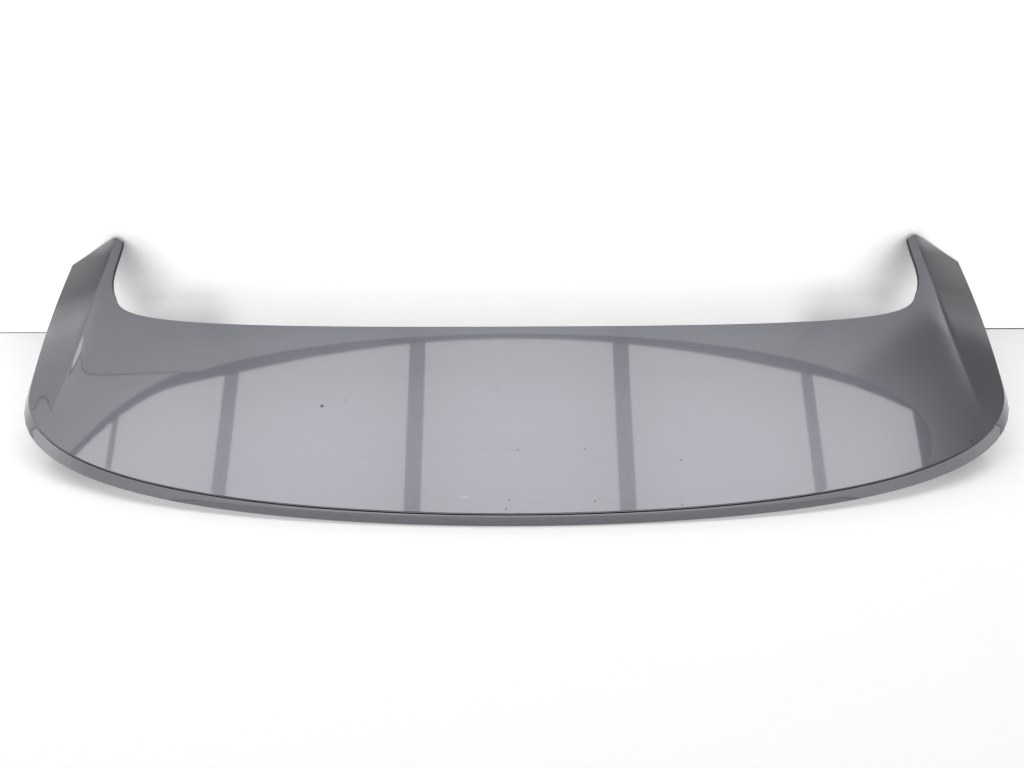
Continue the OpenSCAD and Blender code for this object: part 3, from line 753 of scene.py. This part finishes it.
def board(name, colour, lift, shade, unseen=0.0, fade=None):
    """White board lifted by a faint glow, which is another one, or fades along x, to reflections."""
    def surface(nodes, links):
        camera_ray = nodes.new("ShaderNodeLightPath").outputs["Is Camera Ray"]
        axes = axes_of(nodes, links)
        left, reflected = painted_contact_shade(nodes, links, axes, *shade), unseen
        if fade:
            share = reflected_share(nodes, links, axes, camera_ray)
            left = maths(nodes, links, "MULTIPLY", left, share)
            reflected = maths(nodes, links, "MULTIPLY", remap(nodes, links, axes["X"], fade), share)
            for x, half in POSTS:
                band = beside(nodes, links, axes["X"], x, half)
                reflected = maths(nodes, links, "MULTIPLY", reflected, band)
        face = nodes.new("ShaderNodeBsdfDiffuse")
        tone = nodes.new("ShaderNodeCombineColor")
        # painted shade: the contact shade darkens the board's colour here, and its glow to the camera
        # below
        level = maths(nodes, links, "MULTIPLY", left, colour)
        for channel in ("Red", "Green", "Blue"):
            links.new(level, tone.inputs[channel])
        links.new(tone.outputs["Color"], face.inputs["Color"])
        glow = nodes.new("ShaderNodeEmission")
        seen = maths(nodes, links, "MULTIPLY", left, lift)
        links.new(mixed(nodes, links, camera_ray, reflected, seen), glow.inputs["Strength"])
        both = nodes.new("ShaderNodeAddShader")
        links.new(face.outputs["BSDF"], both.inputs[0])
        links.new(glow.outputs["Emission"], both.inputs[1])
        return both.outputs["Shader"]

    return one_sided(name, surface)


def lamp(name, power):
    def surface(nodes, links):
        glow = nodes.new("ShaderNodeEmission")
        glow.inputs["Strength"].default_value = power
        return glow.outputs["Emission"]

    return one_sided(name, surface)


def panel(name, verts, faces, glow):
    """Part of the stage that the camera itself does not see."""
    made = new_object(name, verts, faces, glow, smooth=False)
    made.visible_camera = False


def sheet(name, near, far, glow):
    """Band between two lines of points, its front side down."""
    n = len(near)
    faces = [(j, n + j, n + j + 1, j + 1) for j in range(n - 1)]
    panel(name, near + far, faces, glow)


def panel_far(x):
    """Far edge of the ceiling lamps, bowed as the reflection shows."""
    drop = LEFT_DROP * max(0, -x - LEFT_DROP_FROM) ** 2 + RIGHT_DROP * max(0, x - RIGHT_DROP_FROM) ** 2
    return PANEL_FAR - PANEL_BOW * x * x - drop


def frame_far(x):
    """Outer edge of the dark frame behind the lamps, which narrows at the left."""
    return panel_far(x) + mix(FRAME_WIDE, FRAME_NARROW, ease(clamp((-x - NARROW_FROM) / NARROW_RUN, 0, 1)))


def lamp_panels():
    glow = lamp("lamp_panel", PANEL_POWER)
    edges = [PANEL_ENDS[0]] + [x + s * half for x, half in BEAMS for s in (-1, 1)] + [PANEL_ENDS[1]]
    for i in range(0, len(edges), 2):
        xs = np.linspace(edges[i], edges[i + 1], 13)
        near = [(x, PANEL_NEAR, CEILING_Z) for x in xs]
        far = [(x, panel_far(x), CEILING_Z) for x in xs]
        sheet(f"lamp_panel_{i // 2}", near, far, glow)
    xs = np.linspace(*PANEL_ENDS, 61)
    near = [(x, PANEL_NEAR, CEILING_Z + BEAM_BACK) for x in xs]
    far = [(x, panel_far(x), CEILING_Z + BEAM_BACK) for x in xs]
    sheet("lamp_beams", near, far, lamp("beam", BEAM_POWER))
    near = [(x, panel_far(x), CEILING_Z) for x in xs]
    far = [(x, frame_far(x), CEILING_Z) for x in xs]
    sheet("lamp_frame", near, far, lamp("dark_frame", 0.0))
    xs = np.linspace(CEILING_FROM, CEILING_TO, 41)
    near = [(x, frame_far(x), CEILING_Z) for x in xs]
    far = [(x, CEILING_BACK, CEILING_Z) for x in xs]
    sheet("ceiling_behind_lamps", near, far, lamp("pale_ceiling", CEILING_POWER))


def ring_glow():
    """Glow that changes smoothly with the angle round the part."""
    def surface(nodes, links):
        axes = axes_of(nodes, links)
        front = maths(nodes, links, "MULTIPLY", axes["Y"], -1.0)
        angle = maths(nodes, links, "ARCTAN2", axes["X"], front)
        half, last = math.radians(RING_HALF_ANGLE), len(RING_POWERS) - 1
        share = remap(nodes, links, angle, (-half, half, 0.0, 1.0), smooth=False)
        power = ramp(nodes, links, share, [(i / last, power) for i, power in enumerate(RING_POWERS)])
        glow = nodes.new("ShaderNodeEmission")
        links.new(power, glow.inputs["Color"])
        return glow.outputs["Emission"]

    return one_sided("room_ring", surface)


def room_ring():
    angles = np.radians(np.linspace(-RING_HALF_ANGLE, RING_HALF_ANGLE, 49))
    low = [(RING_R * math.sin(a), -RING_R * math.cos(a), RING_LOW) for a in angles]
    high = [(x, y, RING_HIGH) for x, y, _ in low]
    sheet("room_ring", low, high, ring_glow())


def wall_top(x):
    """Upper edge of the wall, which the blade reflects as an arch; flat at the left."""
    arch = WALL_TOP + WALL_RISE * x**2 + WALL_RISE_FAR * x**4
    return arch if x > 0 else min(arch, LEFT_TOP + LEFT_TOP_RISE * max(0, -x - LEFT_TOP_TO))


def wall(material):
    """Wall with a foot that comes forward a little, and what only reflections see of it."""
    xs = np.linspace(-WALL_HALF, WALL_HALF, 241)
    foot = [(x, WALL_Y - FOOT_OUT, 0.0) for x in xs]
    low = [(x, WALL_Y, FOOT_HIGH) for x in xs]
    high = [(x, WALL_Y, wall_top(x)) for x in xs]
    n = len(xs)
    corners = [r * n + j for r in (0, 1) for j in range(n - 1)]
    faces = [(k, k + 1, k + n + 1, k + n) for k in corners]
    new_object("wall", foot + low + high, faces, material, smooth=False)
    dark = lamp("dark_line", 0.0)
    xs = np.linspace(-1.6, EDGE_LINE_FROM, 61)
    low = [(x, WALL_Y, wall_top(x)) for x in xs]
    high = [(x, WALL_Y, wall_top(x) + EDGE_LINE_HIGH) for x in xs]
    sheet("wall_edge_line", high, low, dark)


def matt(grey):
    def surface(nodes, links):
        return node(nodes, "ShaderNodeBsdfDiffuse", Color=(grey, grey, grey, 1)).outputs["BSDF"]

    return surface


def foot_shadow_line():
    """Dark sheets painted as the thin shadow line where the wall meets the floor, darker at the right."""
    spans = (("left", -WALL_HALF, LINE_DARK_FROM, 0.35), ("right", LINE_DARK_FROM, WALL_HALF, 0.1))
    for name, x0, x1, grey in spans:
        y = WALL_Y - FOOT_OUT - 0.0005
        verts = [(x0, y, 0.0005), (x1, y, 0.0005), (x1, y, LINE_HIGH), (x0, y, LINE_HIGH)]
        # painted shadow: a matt grey sheet stands in for the shade where wall and floor meet
        line = one_sided(f"line_{name}", matt(grey))
        new_object(f"foot_shadow_line_{name}", verts, [(0, 1, 2, 3)], line, smooth=False)


def floor(material):
    h = FLOOR_HALF
    verts = [(-h, -h, 0), (h, -h, 0), (h, h, 0), (-h, h, 0)]
    new_object("floor", verts, [(0, 1, 2, 3)], material, smooth=False)


def world():
    made = bpy.data.worlds.new("room")
    bpy.context.scene.world = made
    made.use_nodes = True
    nodes, links = made.node_tree.nodes, made.node_tree.links
    nodes.clear()
    out = nodes.new("ShaderNodeOutputWorld")
    fill = nodes.new("ShaderNodeBackground")
    fill.inputs["Strength"].default_value = ROOM_POWER
    seen = nodes.new("ShaderNodeBackground")
    seen.inputs["Color"].default_value = (1, 1, 1, 1)
    fill.inputs["Color"].default_value = (1, 1, 1, 1)
    path = nodes.new("ShaderNodeLightPath")
    choose = nodes.new("ShaderNodeMixShader")
    links.new(path.outputs["Is Camera Ray"], choose.inputs["Fac"])
    links.new(fill.outputs["Background"], choose.inputs[1])
    links.new(seen.outputs["Background"], choose.inputs[2])
    links.new(choose.outputs["Shader"], out.inputs["Surface"])


def camera():
    data = bpy.data.cameras.new("camera")
    data.sensor_width = SENSOR_MM
    data.lens = SENSOR_MM * FOCAL_PX / PHOTO_W
    data.clip_start, data.clip_end = 0.01, 100.0
    made = bpy.data.objects.new("camera", data)
    bpy.context.scene.collection.objects.link(made)
    turn = Matrix.Rotation(math.radians(CAMERA_YAW), 4, "Z")
    turn @= Matrix.Rotation(math.radians(90 - CAMERA_PITCH), 4, "X")
    turn @= Matrix.Rotation(math.radians(CAMERA_ROLL), 4, "Z")
    made.matrix_world = Matrix.Translation(CAMERA_PLACE) @ turn
    bpy.context.scene.camera = made


camera()
world()
floor(board("white_floor", FLOOR_COLOUR, FLOOR_LIFT, FLOOR_SHADE, unseen=FLOOR_UNSEEN))
wall(board("white_wall", WALL_COLOUR, WALL_LIFT, WALL_SHADE, fade=WALL_FADE))
foot_shadow_line()
lamp_panels()
room_ring()

gloss_paint = paint("gloss_paint", (0.101, 0.103, 0.120), marked=True)
under_paint = paint("under_paint", (0.112, 0.114, 0.130))
rubber = plain("black_rubber", (0.02, 0.02, 0.021), 0.55)
foam = plain("closed_cell_foam", (0.03, 0.03, 0.031), 0.9, grain=600.0, bump=0.6)
zinc = plain("zinc_plate", (0.60, 0.60, 0.58), 0.35, metallic=1.0, grain=400.0, bump=0.05)
nylon = plain("natural_nylon", (0.74, 0.72, 0.66), 0.45)

SLOT_MATERIALS = {
    "paint": gloss_paint,
    "paint_lower": under_paint,
    "edge_rubber": rubber,
    "foam": foam,
    "plated_steel": zinc,
    "nylon": nylon,
}
SLOTS = {part["node"]: part["material_slot"] for part in frame["record"]["subparts"]}
for name, slot in SLOTS.items():
    mesh = frame["nodes"][name].data
    mesh.materials.clear()
    mesh.materials.append(SLOT_MATERIALS[slot])


def stands(made, stands_for):
    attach(made, "root")
    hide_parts(stands_for)


stands(upper_skin(gloss_paint), "upper_skin")
stands(edge_seal(rubber), "front_edge_seal")
smooth_part("lower_skin")
for name, slot in SLOTS.items():
    if name.startswith("stud_"):
        stands(stud(f"threaded_{name}", name, zinc), name)
    elif name.startswith(("washer_", "clip_seal_")):
        stands(washer(f"rounded_{name}", name, foam), name)
    elif name.startswith("buffer_"):
        stands(buffer(f"rounded_{name}", name, rubber), name)

bpy.context.scene.view_settings.view_transform = "Standard"
